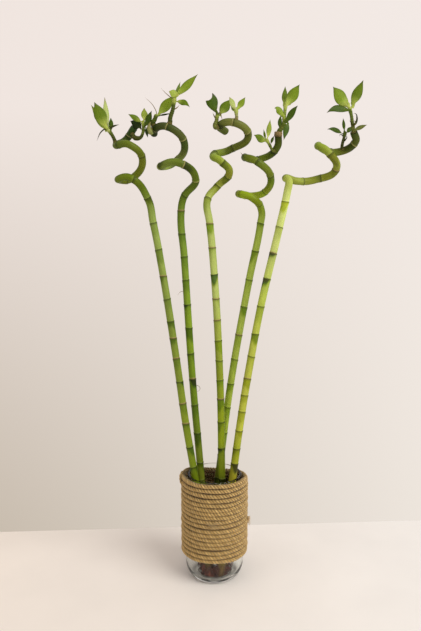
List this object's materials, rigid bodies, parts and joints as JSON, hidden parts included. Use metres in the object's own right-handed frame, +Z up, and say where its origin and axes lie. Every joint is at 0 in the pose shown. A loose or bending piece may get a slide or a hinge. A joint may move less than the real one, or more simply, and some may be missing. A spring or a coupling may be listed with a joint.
{
  "type": "potted plant",
  "caption": "Curled lucky bamboo canes with leafy shoots, standing in water in a small clear glass jar wound with jute rope.",
  "frame": {"origin": "centre of the jar's flat base, where it rests on a surface", "axes": "+Z up along the canes, +X to the right and +Y to the back as the row of canes is seen from the front"},
  "size_m": [0.3165, 0.0854, 0.5992],
  "materials": {
    "clear_glass": "clear, polished",
    "water": "clear liquid",
    "jute": "coarse natural fibre, twisted",
    "root": "satin",
    "shoot": "satin",
    "leaf": "waxy",
    "cane_1_skin": "smooth, waxy, ringed",
    "cane_2_skin": "smooth, waxy, ringed",
    "cane_3_skin": "smooth, waxy, ringed",
    "cane_4_skin": "smooth, waxy, ringed",
    "cane_5_skin": "smooth, waxy, ringed"
  },
  "bodies": {
    "root": {"cane_1": "cane_1_skin", "cane_2": "cane_2_skin", "cane_3": "cane_3_skin", "cane_4": "cane_4_skin", "cane_5": "cane_5_skin", "glass_jar": "clear_glass", "jute_rope": "jute", "leaf_1_end_1": "leaf", "leaf_1_end_2": "leaf", "leaf_1_end_3": "leaf", "leaf_1_left_1": "leaf", "leaf_1_left_2": "leaf", "leaf_1_left_3": "leaf", "leaf_1_left_4": "leaf", "leaf_2_end_1": "leaf", "leaf_2_end_2": "leaf", "leaf_2_end_3": "leaf", "leaf_2_end_4": "leaf", "leaf_2_top_1": "leaf", "leaf_2_top_2": "leaf", "leaf_2_top_3": "leaf", "leaf_2_top_4": "leaf", "leaf_3_end_1": "leaf", "leaf_3_end_2": "leaf", "leaf_3_top_1": "leaf", "leaf_3_top_2": "leaf", "leaf_3_top_3": "leaf", "leaf_4_low_1": "leaf", "leaf_4_low_2": "leaf", "leaf_4_low_3": "leaf", "leaf_4_low_4": "leaf", "leaf_4_top_1": "leaf", "leaf_4_top_2": "leaf", "leaf_4_top_3": "leaf", "leaf_4_top_4": "leaf", "leaf_4_top_5": "leaf", "leaf_4_top_6": "leaf", "leaf_5_low_1": "leaf", "leaf_5_low_2": "leaf", "leaf_5_low_3": "leaf", "leaf_5_top_1": "leaf", "leaf_5_top_2": "leaf", "leaf_5_top_3": "leaf", "leaf_5_top_4": "leaf", "roots_1": "root", "roots_2": "root", "roots_3": "root", "roots_4": "root", "roots_5": "root", "shoot_1_end": "shoot", "shoot_1_left": "shoot", "shoot_2_end": "shoot", "shoot_2_top": "shoot", "shoot_3_end": "shoot", "shoot_3_top": "shoot", "shoot_4_low": "shoot", "shoot_4_top": "shoot", "shoot_5_low": "shoot", "shoot_5_top": "shoot", "water": "water"}
  },
  "joints": []
}
